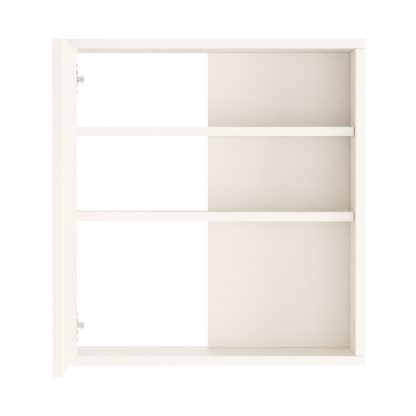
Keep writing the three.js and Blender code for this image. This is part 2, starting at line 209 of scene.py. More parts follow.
def offset_outline(points):
    """A function that gives an anticlockwise outline drawn in by an inset, square to the chord
    between each point's neighbours."""
    chord = np.roll(points, -1, axis=0) - np.roll(points, 1, axis=0)
    normal = np.stack([chord[:, 1], -chord[:, 0]], axis=-1)
    normal = normal / np.linalg.norm(normal, axis=1)[:, None]
    return lambda inset: points - normal * inset


def slab(outline, low, high, edge, place, band=None, steps=4):
    """A flat outline pulled from one height to another with its edges eased: ring k lies
    edge * (1 - sin t) inside the outline and edge * (1 - cos t) in from the face, for t from 0 to 90
    degrees. With a band, a fine groove runs round each face where the edging meets it.
    place(u, v, w) puts outline coordinates and height into the row frame."""
    turn = np.radians(np.linspace(0, 90, steps))
    inset = edge * (1 - np.sin(turn))
    rise = edge * (1 - np.cos(turn))
    support = 0.06 * MM
    inset = np.concatenate([[edge + 2 * support], inset, [0]])
    rise = np.concatenate([[0], rise, [edge + 2 * support]])
    if band:
        seam = band + np.array([1.6, 0.3, 0.16, 0.08, 0]) * MM
        inset = np.concatenate([seam, inset])
        rise = np.concatenate([[0, 0, 0, BAND_GROOVE, 0], rise])
    inset = np.concatenate([inset, inset[::-1]])
    height = np.concatenate([low + rise, (high - rise)[::-1]])
    drawn = [outline(i) for i in inset]
    rings = [place(*points.T, np.full(len(points), h)) for points, h in zip(drawn, height)]
    grid_points, faces = closed_grid(np.array(rings))
    marks = [0.0] * len(faces)
    if band:
        around = len(drawn[0])
        first, last = (len(seam) - 1) * around, (len(rings) - len(seam)) * around
        marks[first:last] = [BANDED] * (last - first)
    return grid_points, faces, marks


def placer(along_u, along_v, along_w):
    """Puts (u, v, w) into the row frame along three given axes."""
    return lambda u, v, w: u[:, None] * along_u + v[:, None] * along_v + w[:, None] * along_w


PLACE = {
    "x": placer(Y, Z, X),
    "y": placer(Z, X, Y),
    "z": placer(X, Y, Z),
}


def board(node, thickness_axis, edge=BOARD_EDGE, ends=0.0):
    """A banded board in the box of its CAD node: a rounded rectangle across its thickness. A
    standing board stops short of its neighbours by the gap given for its ends."""
    low, high = box_of(node)
    low, high = low + ends * Z, high - ends * Z
    u, v, w = {"x": (1, 2, 0), "y": (2, 0, 1), "z": (0, 1, 2)}[thickness_axis]
    outline = rounded_rectangle((low[u], low[v]), (high[u], high[v]), edge)
    return slab(outline, low[w], high[w], edge, PLACE[thickness_axis], BAND_THICKNESS)


# ---- Screws and pins ----


def cross_recess(depth, span, width):
    """A cross recess: as deep as the smaller of how far a point lies inside the arms' width and
    inside their span, with sloping walls."""

    def shift(along, angle, radius):
        x, y = np.abs(radius * np.cos(angle)), np.abs(radius * np.sin(angle))
        across = (width / 2 - np.minimum(x, y)) / (0.35 * width)
        outward = (span / 2 - np.maximum(x, y)) / (0.3 * span)
        return depth * np.clip(np.minimum(across, outward), 0, 1) * (along < 0.9 * MM)

    return shift


def hex_recess(depth, across):
    """A hexagon socket: the distance from the axis measured square to the nearest of six flats."""

    def shift(along, angle, radius):
        sector = (angle + math.pi / 6) % (math.pi / 3) - math.pi / 6
        inside = (across / 2 - radius * np.cos(sector)) / (0.06 * across)
        return depth * np.clip(inside, 0, 1) * (along < 0.3 * MM)

    return shift


def screw_profile(head, neck, length, cone, pitch):
    """A countersunk screw: face, rounded rim, cone, then a shank whose radius rises and falls once
    a thread, and a tapered point."""
    rim = 0.25 * MM
    rows = [(radius, 0) for radius in np.linspace(AXIS, head - rim, 16)]
    rows += [(head - rim * (1 - math.sin(t)), rim * (1 - math.cos(t))) for t in np.radians([30, 60, 90])]
    rows += [(head, rim + 0.15 * MM), (neck, cone)]
    start, end = cone + 0.8 * MM, length - 2.2 * neck
    steps = max(int((end - start) / pitch) * 4, 4)
    for k, along in enumerate(np.linspace(start, end, steps)):
        ridge = 0.5 - 0.5 * math.cos(k * math.pi / 2)
        rows.append((neck * (0.74 + 0.26 * ridge), along))
    return rows + [(neck * 0.7, end + 0.4 * neck), (neck * 0.12, length - 0.02 * MM), (0.01 * MM, length)]


def node_axis(node, direction):
    """Where a turned piece starts, and how long it is: the middle of its CAD box's face that the
    direction leaves, and the box's length along the direction."""
    low, high = box_of(node)
    half = (high - low) / 2
    return middle_of(node) - direction * half, 2 * float(half @ np.abs(direction))


def screw(node, direction, body, head, neck, cone, pitch, recess, sink=0.15 * MM):
    """A detailed zinc-plated screw in place of its CAD node, its head a little below the face."""
    start, length = node_axis(node, direction)
    profile = screw_profile(head, neck, length - sink, cone, pitch)
    part = turned(profile, start + direction * sink, direction, 36, recess)
    make_piece(node + "_detail", [part], [node], body, "zinc_steel")


def domed_screw(node, direction, body):
    """A raised-head screw: its head is an ellipse's quarter over the flange, with a cross recess."""
    start, length = node_axis(node, direction)
    head, dome, neck = 3.75 * MM, 2.15 * MM, 1.6 * MM
    turn = np.radians(np.concatenate([np.linspace(1, 45, 12), np.linspace(50, 90, 7)]))
    rows = [(head * math.sin(t), 0.03 * MM + dome * (1 - math.cos(t))) for t in turn]
    rows += [(head - 0.15 * MM, dome + 0.18 * MM), (neck, dome + 0.2 * MM), (neck, dome + 1.2 * MM)]
    begin, end = dome + 1.4 * MM, length - 3.4 * MM
    rows += [(neck * (0.76 + 0.24 * (k % 2)), a) for k, a in enumerate(np.linspace(begin, end, 11))]
    rows += [(neck * 0.6, end + 1.0 * MM), (AXIS, length)]
    part = turned(rows, start, direction, 40, cross_recess(1.5 * MM, 4.4 * MM, 1.15 * MM))
    make_piece(node + "_detail", [part], [node], body, "zinc_steel")


def screw_cutter(node, direction, radius, cone, neck, depth):
    """The countersunk hole round a screw, as a solid that runs past the board's face."""
    start, _ = node_axis(node, direction)
    profile = [(AXIS, -OVER), (radius, -OVER), (radius, 0.5 * MM)]
    profile += [(neck, cone), (neck, depth), (AXIS, depth)]
    return make_piece("cutter", [turned(profile, start, direction, 36)], core=True)


def bore_cutter(start, direction, radius, depth, segments=48):
    """A plain round hole, as a solid that runs past the face it starts from."""
    profile = [(AXIS, -OVER), (radius, -OVER), (radius, depth), (AXIS, depth)]
    return make_piece("cutter", [turned(profile, start, direction, segments)], core=True)


def shelf_pin(node, inward):
    """A bright steel pin: a ribbed peg in the panel, a domed collar and a plain peg under the shelf."""
    start, length = node_axis(node, inward)
    peg, collar = 2.5 * MM, 3.35 * MM
    soft = 0.4 * MM
    rib_depth, rib_pitch, ribs_start = 0.12 * MM, 0.55 * MM, 1.0 * MM
    seat = 8.2 * MM
    rows = [(AXIS, 0), (peg - soft, 0), (peg - 0.1 * MM, 0.15 * MM), (peg, soft)]
    rows += [(peg - rib_depth * (k % 2), ribs_start + k * rib_pitch) for k in range(12)]
    rows += [(peg, seat), (collar - soft, seat), (collar - 0.08 * MM, seat + 0.2 * MM)]
    rows += [(collar, seat + 0.5 * MM), (collar, seat + 0.9 * MM)]
    rows += [(collar - 0.12 * MM, seat + 1.2 * MM), (collar - soft, seat + 1.35 * MM)]
    rows += [(peg + 0.3 * MM, seat + 1.4 * MM), (peg, seat + 1.6 * MM), (peg, length - soft)]
    rows += [(peg - 0.1 * MM, length - 0.15 * MM), (peg - soft, length), (AXIS, length)]
    make_piece(node + "_detail", [turned(rows, start, inward, 32)], [node], "carcass", "nickel")


def plain_pin(node, body):
    """A riveted pin along Z with rounded ends."""
    start, length = node_axis(node, Z)
    radius, soft = 1.1 * MM, 0.3 * MM
    half = [(AXIS, 0), (radius - soft, 0), (radius - 0.08 * MM, 0.1 * MM), (radius, soft)]
    rows = half + [(across, length - along) for across, along in reversed(half)]
    make_piece(node + "_detail", [turned(rows, start, Z, 24)], [node], body, "zinc_steel")


# ---- Shader groups ----


def node_tree(name, inputs, outputs):
    """An empty shader node group with named float or colour sockets."""
    tree = bpy.data.node_groups.new(name, "ShaderNodeTree")
    for socket, kind, value in inputs:
        made = tree.interface.new_socket(socket, in_out="INPUT", socket_type=kind)
        if value is not None:
            made.default_value = value
    for socket, kind in outputs:
        tree.interface.new_socket(socket, in_out="OUTPUT", socket_type=kind)
    return tree, tree.nodes.new("NodeGroupInput"), tree.nodes.new("NodeGroupOutput")


def add_node(tree, kind, links=(), **values):
    """A node with its properties set and its inputs linked or filled."""
    made = tree.nodes.new(kind)
    for key, value in values.items():
        setattr(made, key, value)
    for socket, source in dict(links).items():
        if isinstance(source, bpy.types.NodeSocket):
            tree.links.new(source, made.inputs[socket])
        else:
            made.inputs[socket].default_value = source
    return made


def add_math(tree, operation, a, b=0.0, clamp=False):
    return add_node(tree, "ShaderNodeMath", {0: a, 1: b}, operation=operation, use_clamp=clamp).outputs[0]


def add_noise(tree, vector, scale, detail, roughness=0.5):
    links = {"Vector": vector, "Scale": scale, "Detail": detail, "Roughness": roughness}
    return add_node(tree, "ShaderNodeTexNoise", links).outputs["Fac"]


def mottle_group():
    """Soft uneven patches: two layers of noise of different size, spread round zero."""
    tree, inside, outside = node_tree(
        "mottle",
        [
            ("Vector", "NodeSocketVector", None),
            ("Scale", "NodeSocketFloat", 5.0),
            ("Spread", "NodeSocketFloat", 1.0),
        ],
        [("Value", "NodeSocketFloat")],
    )
    vector, scale, spread = (inside.outputs[k] for k in ("Vector", "Scale", "Spread"))
    broad = add_noise(tree, vector, scale, 3.0, 0.55)
    fine = add_noise(tree, vector, add_math(tree, "MULTIPLY", scale, 6.3), 2.0)
    broad_share = add_math(tree, "MULTIPLY", broad, 0.7)
    mixed = add_math(tree, "ADD", broad_share, add_math(tree, "MULTIPLY", fine, 0.3))
    centred = add_math(tree, "SUBTRACT", mixed, 0.5)
    tree.links.new(add_math(tree, "MULTIPLY", centred, spread), outside.inputs["Value"])
    return tree


def pearl_group():
    """The fine pebbled skin of melamine: small rounded cells with a finer grain over them."""
    tree, inside, outside = node_tree(
        "pearl",
        [("Vector", "NodeSocketVector", None), ("Cells", "NodeSocketFloat", 900.0)],
        [("Height", "NodeSocketFloat")],
    )
    vector, cells = inside.outputs["Vector"], inside.outputs["Cells"]
    pebbles = add_node(tree, "ShaderNodeTexVoronoi", {"Vector": vector, "Scale": cells}, feature="SMOOTH_F1")
    pebbles.inputs["Smoothness"].default_value = 0.8
    grain = add_noise(tree, vector, add_math(tree, "MULTIPLY", cells, 2.6), 1.0)
    waves = add_noise(tree, vector, add_math(tree, "MULTIPLY", cells, 0.03), 2.0)
    small = add_math(tree, "ADD", pebbles.outputs["Distance"], add_math(tree, "MULTIPLY", grain, 0.35))
    height = add_math(tree, "ADD", small, add_math(tree, "MULTIPLY", waves, 1.2))
    tree.links.new(height, outside.inputs["Height"])
    return tree


def scratches_group():
    """Fine directional marks on plated steel: noise stretched along one axis."""
    tree, inside, outside = node_tree(
        "scratches",
        [("Vector", "NodeSocketVector", None), ("Scale", "NodeSocketFloat", 400.0)],
        [("Value", "NodeSocketFloat")],
    )
    vector, scale = inside.outputs["Vector"], inside.outputs["Scale"]
    stretch = add_node(tree, "ShaderNodeMapping", {"Vector": vector, "Scale": (1.0, 1.0, 0.08)})
    tree.links.new(add_noise(tree, stretch.outputs[0], scale, 4.0, 0.6), outside.inputs["Value"])
    return tree


def chips_group():
    """Pressed wood chips: flat cells of uneven tone, each crossed by a fibre grain."""
    tree, inside, outside = node_tree(
        "chips",
        [("Vector", "NodeSocketVector", None), ("Cells", "NodeSocketFloat", 400.0)],
        [("Value", "NodeSocketFloat")],
    )
    vector, cells = inside.outputs["Vector"], inside.outputs["Cells"]
    flakes = add_node(tree, "ShaderNodeTexVoronoi", {"Vector": vector, "Scale": cells}, feature="F1")
    tone = add_node(tree, "ShaderNodeSeparateColor", {0: flakes.outputs["Color"]})
    fibre = add_noise(tree, vector, add_math(tree, "MULTIPLY", cells, 3.0), 3.0)
    chip_tone = add_math(tree, "MULTIPLY", tone.outputs[0], 0.6)
    mixed = add_math(tree, "ADD", chip_tone, add_math(tree, "MULTIPLY", fibre, 0.5))
    tree.links.new(mixed, outside.inputs["Value"])
    return tree


GROUPS = {
    "mottle": mottle_group(),
    "pearl": pearl_group(),
    "scratches": scratches_group(),
    "chips": chips_group(),
}


def add_group(tree, name, **values):
    made = tree.nodes.new("ShaderNodeGroup")
    made.node_tree = GROUPS[name]
    for key, value in values.items():
        if isinstance(value, bpy.types.NodeSocket):
            tree.links.new(value, made.inputs[key])
        else:
            made.inputs[key].default_value = value
    return made.outputs[0]


def add_ramp(tree, factor, dark, light, start=0.0, end=1.0):
    """A colour ramp between two colours, from one value of its factor to another."""
    made = add_node(tree, "ShaderNodeValToRGB", {"Fac": factor})
    for element, position, colour in zip(made.color_ramp.elements, (start, end), (dark, light)):
        element.position = position
        element.color = (*colour, 1)
    return made.outputs["Color"]


def add_mix(tree, factor, first, second, blend="MIX"):
    """A mix of two colours. The Mix node's colour sockets are its inputs 6 and 7 and its output 2."""
    links = {0: factor, 6: first, 7: second}
    return add_node(tree, "ShaderNodeMix", links, data_type="RGBA", blend_type=blend).outputs[2]


def new_material(name):
    material = bpy.data.materials.new(name)
    material.use_nodes = True
    tree = material.node_tree
    tree.nodes.clear()
    shader = tree.nodes.new("ShaderNodeBsdfPrincipled")
    output = tree.nodes.new("ShaderNodeOutputMaterial")
    tree.links.new(shader.outputs[0], output.inputs[0])
    place = tree.nodes.new("ShaderNodeTexCoord").outputs["Object"]
    return material, tree, shader, place


def melamine():
    """Warm white melamine: faint tone patches and specks, a pebbled satin skin, slightly glossier
    edging with handling marks, and bare chipboard where a bore or pocket is cut."""
    material, tree, shader, place = new_material("melamine")
    finish = add_node(tree, "ShaderNodeAttribute", attribute_name="finish").outputs["Fac"]
    edging = add_node(tree, "ShaderNodeMath", {0: finish, 1: BANDED, 2: 0.2}, operation="COMPARE").outputs[0]
    bare = add_math(tree, "GREATER_THAN", finish, 0.75)
    patches = add_math(tree, "ADD", add_group(tree, "mottle", Vector=place, Scale=6.0, Spread=1.6), 0.5)
    face = add_ramp(tree, patches, (0.868, 0.812, 0.742), (0.893, 0.838, 0.768))
    tinted = add_mix(tree, edging, face, (0.884, 0.830, 0.765, 1))
    grime = add_math(tree, "ADD", add_group(tree, "mottle", Vector=place, Scale=150.0, Spread=1.0), 0.5)
    specks = add_ramp(tree, grime, (0.93, 0.925, 0.915), (1, 1, 1), 0.30, 0.42)
    specked = add_mix(tree, 1.0, tinted, specks, "MULTIPLY")
    chips = add_group(tree, "chips", Vector=place, Cells=650.0)
    wood = add_ramp(tree, chips, (0.17, 0.105, 0.055), (0.62, 0.45, 0.27))
    tree.links.new(add_mix(tree, bare, specked, wood), shader.inputs["Base Color"])
    smears = add_group(tree, "mottle", Vector=place, Scale=11.0, Spread=0.22)
    satin = add_math(tree, "SUBTRACT", 0.44, add_math(tree, "MULTIPLY", edging, 0.07))
    worn = add_math(tree, "ADD", satin, smears)
    rough = add_math(tree, "ADD", worn, add_math(tree, "MULTIPLY", bare, 0.5), clamp=True)
    tree.links.new(rough, shader.inputs["Roughness"])
    skin = add_group(tree, "pearl", Vector=place, Cells=900.0)
    pits = add_math(tree, "MULTIPLY", bare, add_math(tree, "MULTIPLY", chips, 6.0))
    relief = add_math(tree, "ADD", skin, pits)
    bump = add_node(tree, "ShaderNodeBump", {"Strength": 0.14, "Distance": 0.00012, "Height": relief})
    tree.links.new(bump.outputs[0], shader.inputs["Normal"])
    return material


def plated(name, dark, light, roughness, cloud_scale):
    """Plated steel: cloudy tone, fine marks in its roughness and a slight ripple in the sheet."""
    material, tree, shader, place = new_material(name)
    clouds = add_group(tree, "mottle", Vector=place, Scale=cloud_scale, Spread=2.2)
    tone = add_ramp(tree, add_math(tree, "ADD", clouds, 0.5), dark, light)
    tree.links.new(tone, shader.inputs["Base Color"])
    shader.inputs["Metallic"].default_value = 1.0
    marks = add_group(tree, "scratches", Vector=place, Scale=900.0)
    rough = add_math(tree, "ADD", roughness - 0.1, add_math(tree, "MULTIPLY", marks, 0.2))
    tree.links.new(rough, shader.inputs["Roughness"])
    bump = add_node(tree, "ShaderNodeBump", {"Strength": 0.15, "Distance": 0.0001, "Height": marks})
    tree.links.new(bump.outputs[0], shader.inputs["Normal"])
    return material


MATERIALS = {
    "board": melamine(),
    "nickel": plated("nickel_plate", (0.52, 0.50, 0.47), (0.68, 0.66, 0.63), 0.30, 60.0),
    "zinc_steel": plated("zinc_plate", (0.27, 0.27, 0.265), (0.42, 0.42, 0.41), 0.38, 90.0),
}


# ---- Carcass boards ----

nodes = sorted(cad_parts)
CONFIRMAT = {
    "head": 4.9 * MM,
    "neck": 3.2 * MM,
    "cone": 3.2 * MM,
    "pitch": 3.0 * MM,
    "recess": hex_recess(2.4 * MM, 4.2 * MM),
}
HANGER_SCREW = {
    "head": 2.75 * MM,
    "neck": 1.5 * MM,
    "cone": 1.5 * MM,
    "pitch": 1.2 * MM,
    "recess": cross_recess(1.2 * MM, 3.2 * MM, 0.9 * MM),
    "sink": 0.05 * MM,
}
ARM_SCREW = {
    "head": 3.1 * MM,
    "neck": 1.95 * MM,
    "cone": 3.0 * MM,
    "pitch": 0.9 * MM,
    "recess": cross_recess(1.6 * MM, 4.4 * MM, 1.2 * MM),
    "sink": 0,
}
PLATE_SCREW = {
    "head": 3.15 * MM,
    "neck": 1.8 * MM,
    "cone": 1.9 * MM,
    "pitch": 1.4 * MM,
    "recess": cross_recess(1.4 * MM, 4.0 * MM, 1.1 * MM),
    "sink": 0.05 * MM,
}
HANGER_COUNTERSINK = (3.0 * MM, 1.7 * MM, 1.8 * MM)  # head's radius, cone's depth, neck's radius
CONFIRMAT_COUNTERSINK = (5.3 * MM, 3.4 * MM, 3.4 * MM)
PLATE_COUNTERSINK = (3.5 * MM, 2.1 * MM, 2.1 * MM)
ENDS = ("top", "bottom")


def carcass_board(node, thickness_axis, cutters=(), edge=BOARD_EDGE, ends=0.0):
    piece = make_piece(node + "_board", [board(node, thickness_axis, edge, ends)])
    cut(piece, cutters)
    finish_piece(piece, [node], "carcass", "board")


def top_and_bottom():
    for face, direction in (("top", -Z), ("bottom", Z)):
        screws = [n for n in nodes if n.startswith((f"corner_screw_{face}", f"back_screw_{face}"))]
        cutters = [screw_cutter(n, direction, *CONFIRMAT_COUNTERSINK, 30 * MM) for n in screws]
        carcass_board(f"{face}_panel", "z", cutters)
        for name in screws:
            screw(name, direction, "carcass", **CONFIRMAT)


def box_cutter(low, high, radius=0.4 * MM):
    """A box between two corners. Seen along X, its corners are quarter circles of the radius."""
    low, high = np.asarray(low), np.asarray(high)
    outline = rounded_rectangle(low[1:], high[1:], radius, 5)
    return make_piece("cutter", [slab(outline, low[0], high[0], 0.02 * MM, PLACE["x"])], core=True)


def side_panels():
    for side, inward in (("left", X), ("right", -X)):
        node = f"{side}_side_panel"
        pins = [n for n in nodes if n.startswith("shelf_pin") and f"_{side}_" in n]
        hanger_screws = [f"hanger_screw_{side}_{end}" for end in ENDS]
        cutters = hanger_seat(side)
        cutters += [bore_cutter(inner_start(n, node, inward), -inward, 2.65 * MM, 8.4 * MM, 32) for n in pins]
        cutters += [screw_cutter(n, -Y, *HANGER_COUNTERSINK, 14 * MM) for n in hanger_screws]
        if side == "left":
            starts = [inner_start(n, node, inward) for n in nodes if "_hinge_plate_screw_" in n]
            cutters += [bore_cutter(start, -inward, 2.1 * MM, 11 * MM, 24) for start in starts]
        carcass_board(node, "x", cutters, ends=JOINT_GAP)
        for name in pins:
            shelf_pin(name, inward)
        for name in hanger_screws:
            screw(name, -Y, "carcass", **HANGER_SCREW)
        keyhole_hanger(side)


def hanger_seat(side):
    """What is cut from a side panel's rear edge for its hanger: a seat as deep as the plate, and a
    pocket behind the keyhole for the head of the wall screw."""
    low, high = box_of(f"keyhole_hanger_{side}")
    gap, past_edge = 0.3 * MM, 5 * MM
    middle = (low + high) / 2
    pocket_half = np.array([4.9, 12, 12]) * MM
    seat = box_cutter(low - gap, high + [gap, past_edge, gap])
    pocket = box_cutter(middle - pocket_half, middle + [pocket_half[0], past_edge, pocket_half[2]])
    return [seat, pocket]


def inner_start(node, panel, inward):
    """The point on a side panel's inner face where a pin or screw goes in."""
    low, high = box_of(panel)
    point = middle_of(node)
    point[0] = high[0] if inward @ X > 0 else low[0]
    return point


def keyhole_hanger(side):
    """A pressed plate with rounded ends and a keyhole: a round entry with a slot rising from it."""
    node = f"keyhole_hanger_{side}"
    low, high = box_of(node)
    outline = rounded_rectangle((low[2], low[0]), (high[2], high[0]), 3.0 * MM, 8)
    piece = make_piece(node + "_detail", [slab(outline, low[1], high[1], 0.3 * MM, PLACE["y"])])
    entry_radius, slot_half, rise, through = 4.6 * MM, 2.6 * MM, 11 * MM, 5 * MM
    start = middle_of(node) - Z * rise / 2
    start[1] = high[1]
    slot_end = start + Z * rise
    cutters = [
        bore_cutter(start, -Y, entry_radius, through),
        bore_cutter(slot_end, -Y, slot_half, through),
        box_cutter(start - [slot_half, through, 0], slot_end + [slot_half, 2 * MM, 0]),
    ]
    cutters += [screw_cutter(f"hanger_screw_{side}_{end}", -Y, *HANGER_COUNTERSINK, 8 * MM) for end in ENDS]
    cut(piece, cutters)
    finish_piece(piece, [node], "carcass", "zinc_steel")


def shelves_and_back():
    for level in ("upper", "lower"):
        grooves = [pin_groove(level, pin) for pin in nodes if pin.startswith(f"shelf_pin_{level}")]
        carcass_board(f"{level}_shelf", "z", grooves)
    screws = [(n, -Z if "_top_" in n else Z) for n in nodes if n.startswith("back_screw")]
    holes = [bore_cutter(node_axis(n, into)[0], into, 3.3 * MM, 51 * MM, 24) for n, into in screws]
    carcass_board("back_board", "y", holes, INNER_EDGE)


def pin_groove(level, pin):
    """The round-topped groove in a shelf's underside that a pin's peg lies in."""
    shelf_low, shelf_high = box_of(f"{level}_shelf")
    low, high = box_of(pin)
    middle, radius, end_gap = (low + high) / 2, 2.8 * MM, 0.3 * MM
    if middle[0] > 0:
        x0, x1 = low[0] - end_gap, shelf_high[0] + OVER
    else:
        x0, x1 = shelf_low[0] - OVER, high[0] + end_gap
    mouth = [[middle[1] + across, shelf_low[2] - OVER] for across in (-radius, radius)]
    outline = offset_outline(np.vstack([mouth, arc(middle[1:], radius, 0, 180, 17)]))
    return make_piece("cutter", [slab(outline, x0, x1, 0.01 * MM, PLACE["x"])], core=True)


# ---- Door and hinges ----

HINGES = ("upper", "lower")


CUP_RADIUS = 17.5 * MM
CUP_DEPTH = 11.5 * MM
CUP_WALL = 1.9 * MM
CUP_TO_DOOR_EDGE = 22 * MM
FLANGE = 1.2 * MM
RIM_RISE = 1.3 * MM  # the cup's rolled rim over its flange
PASSAGE = 8.5 * MM  # half the gap in the rim that the link passes through
EAR_RADIUS = 6.4 * MM  # the flange's round ends
EAR_CENTRE = 24 * MM  # from the cup's middle, up and down
EAR_SHIFT = 6 * MM  # the flange's middle lies this far in front of the cup's


def hinge_places(level):
    """The points that a hinge is drawn round, from its CAD pins and the boards it joins."""
    panel_low, panel_high = box_of("left_side_panel")
    door_high = box_of("door_panel")[1]
    height = middle_of(f"{level}_hinge_arm")[2]
    return {
        "corner": np.array([panel_high[0], panel_low[1], height]),
        "cup_mouth": np.array([door_high[0], door_high[1] - CUP_TO_DOOR_EDGE, height]),
        "cup_pin": middle_of(f"{level}_hinge_link_pin"),
        "arm_pin": middle_of(f"{level}_hinge_arm_pin"),
    }


def door():
    piece = make_piece("door_board", [board("door_panel", "x")])
    cutters = []
    for level in HINGES:
        mouth = hinge_places(level)["cup_mouth"]
        cutters.append(bore_cutter(mouth, -X, CUP_RADIUS + 0.2 * MM, CUP_DEPTH + 0.3 * MM, 72))
        for end in ENDS:
            head, _ = node_axis(f"{level}_hinge_cup_screw_{end}", -X)
            cutters.append(bore_cutter([mouth[0], head[1], head[2]], -X, 2.0 * MM, 11 * MM, 24))
    cut(piece, cutters)
    finish_piece(piece, ["door_panel"], "door", "board")


def cup(level):
    """The pressed cup: a dish with a rolled rim that is open where the link passes, on a flange with
    two screw ears. It is the turned outside, joined to the flange, less the turned hollow."""
    mouth = hinge_places(level)["cup_mouth"]
    floor, top = -CUP_DEPTH + 0.1 * MM, FLANGE + RIM_RISE
    dish = make_piece(f"{level}_hinge_cup_detail", [turned(cup_outside(floor, top), mouth, X, 72)])
    half_passage = np.array([0, CUP_RADIUS + OVER, PASSAGE])
    passage_low = mouth + X * (FLANGE - 0.3 * MM) - half_passage
    passage_high = mouth + X * (top + OVER) + half_passage
    cut(dish, [box_cutter(passage_low, passage_high, 1.2 * MM)])
    ear = np.array([EAR_RADIUS, EAR_CENTRE + EAR_RADIUS])
    middle = mouth[1:] - [EAR_SHIFT, 0]
    outline = rounded_rectangle(middle - ear, middle + ear, EAR_RADIUS - 0.1 * MM, 12)
    flange = slab(outline, mouth[0] + 0.16 * MM, mouth[0] + FLANGE, STEEL_EDGE, PLACE["x"])
    cut(dish, [make_piece("flange", [flange])], "UNION")
    cut(dish, [make_piece("cutter", [turned(cup_hollow(floor, top), mouth, X, 72)])])
    for end in ENDS:
        head, _ = node_axis(f"{level}_hinge_cup_screw_{end}", -X)
        cut(dish, [bore_cutter([mouth[0] + FLANGE, head[1], head[2]], -X, 2.2 * MM, 6 * MM, 36)])
    finish_piece(dish, [f"{level}_hinge_cup"], "door", "nickel")
    for end in ENDS:
        domed_screw(f"{level}_hinge_cup_screw_{end}", -X, "door")
    plain_pin(f"{level}_hinge_link_pin", "door")


def cup_outside(floor, top):
    """The cup's outer profile: a floor with a wide bend, a straight wall and a rolled rim."""
    wall = CUP_RADIUS - 0.1 * MM
    bend = [(2.1, 0), (0.7, 0.35), (0.1, 1.2), (0, 2.4)]
    rim = [(0, 0.55), (0.15, 0.2), (0.4, 0.03), (0.6, 0)]
    rows = [(wall - inward * MM, floor + up * MM) for inward, up in bend]
    rows += [(wall - inward * MM, top - down * MM) for inward, down in rim]
    return [(AXIS, floor), *rows, (AXIS, top)]


def cup_hollow(floor, top):
    """The cup's inner profile, which flares out under the rolled rim."""
    wall = CUP_RADIUS - 0.1 * MM - CUP_WALL
    inner_floor = floor + 1 * MM
    bend = [(2.2, 0), (0.7, 0.5), (0.1, 1.6)]
    flare = [(0, 0.7), (0.1, 0.35), (0.35, 0.1), (0.7, -0.05)]
    rows = [(wall - inward * MM, inner_floor + up * MM) for inward, up in bend]
    rows += [(wall + outward * MM, top - down * MM) for outward, down in flare]
    return [(AXIS, inner_floor), *rows, (rows[-1][0], top + OVER), (AXIS, top + OVER)]


def softened(values, passes):
    """A running mean that leaves the two ends where they are."""
    values = values.copy()
    for _ in range(passes):
        values[1:-1] = (values[:-2] + 2 * values[1:-1] + values[2:]) / 4
    return values


def strip_outline(path, half_width, steps=9):
    """A strip of even width along a bent path with round ends, its bend softened by a running mean."""
    path = np.asarray(path, float)
    along = np.concatenate([[0], np.cumsum(np.linalg.norm(np.diff(path, axis=0), axis=1))])
    fine = np.linspace(0, along[-1], 41)
    line = softened(np.stack([np.interp(fine, along, path[:, k]) for k in (0, 1)], axis=-1), 14)
    heading = np.gradient(line, axis=0)
    heading /= np.linalg.norm(heading, axis=1)[:, None]
    left = np.stack([-heading[:, 1], heading[:, 0]], axis=-1)
    end_angle = math.degrees(math.atan2(*heading[-1][::-1]))
    start_angle = math.degrees(math.atan2(*heading[0][::-1]))
    end_cap = arc(line[-1], half_width, end_angle - 90, end_angle + 90, steps)[1:-1]
    start_cap = arc(line[0], half_width, start_angle + 90, start_angle + 270, steps)[1:-1]
    return np.vstack([line - left * half_width, end_cap, (line + left * half_width)[::-1], start_cap])


def link(level):
    """The hinge's link: two bent cheeks beside the arm, joined by a bush on the cup's pin."""
    place = hinge_places(level)
    pin, nose = place["cup_pin"], place["arm_pin"]
    knee = np.array([place["cup_mouth"][0] + 3.5 * MM, pin[1]])
    outline = offset_outline(strip_outline([pin[:2], knee, nose[:2]], 1.85 * MM))
    inner, cheek = 6.42 * MM, 1.16 * MM
    starts = [pin[2] + inner, pin[2] - inner - cheek]
    cheeks = [slab(outline, start, start + cheek, 0.25 * MM, PLACE["z"]) for start in starts]
    bush = bush_ring(1.4 * MM, 2.05 * MM, inner + 0.3 * MM, pin)
    node = f"{level}_hinge_link"
    make_piece(node + "_detail", [*cheeks, bush], [node], node, "nickel")


def bush_ring(bore, radius, half_length, centre, segments=32):
    """A bush along Z: four rings, each joined to the next and the last to the first again."""
    side, up = frame_of(Z)
    angle = np.linspace(0, 2 * math.pi, segments, endpoint=False)
    spoke = np.cos(angle)[:, None] * side + np.sin(angle)[:, None] * up
    rows = [(bore, -half_length), (radius, -half_length), (radius, half_length), (bore, half_length)]
    rings = np.array([centre + across * spoke + along * Z for across, along in rows])
    index = np.arange(len(rows) * segments).reshape(len(rows), segments)
    following = np.roll(index, -1, axis=0)
    corners = [index, np.roll(index, -1, axis=1), np.roll(following, -1, axis=1), following]
    quads = np.stack(corners, axis=-1).reshape(-1, 4)
    return rings.reshape(-1, 3), [tuple(face) for face in quads]


# The arm seen from above, in mm from the panel's front corner: how far its crown and its feet stand
# off the panel at each distance along it.
ARM_CROWN = np.array([(9, 29.2), (12, 31), (27.5, 31), (47, 15), (90, 15)]) * MM
ARM_FEET = np.array([(9, 23.6), (14, 22.9), (27.5, 20.6), (46, 4.9), (90, 4.9)]) * MM
ARM_HALF_WIDTH = 5.95 * MM
BULKHEAD_LOW = np.array([18.4, 29.0, -4.8]) * MM
BULKHEAD_HIGH = np.array([28.3, 30.4, 4.8]) * MM


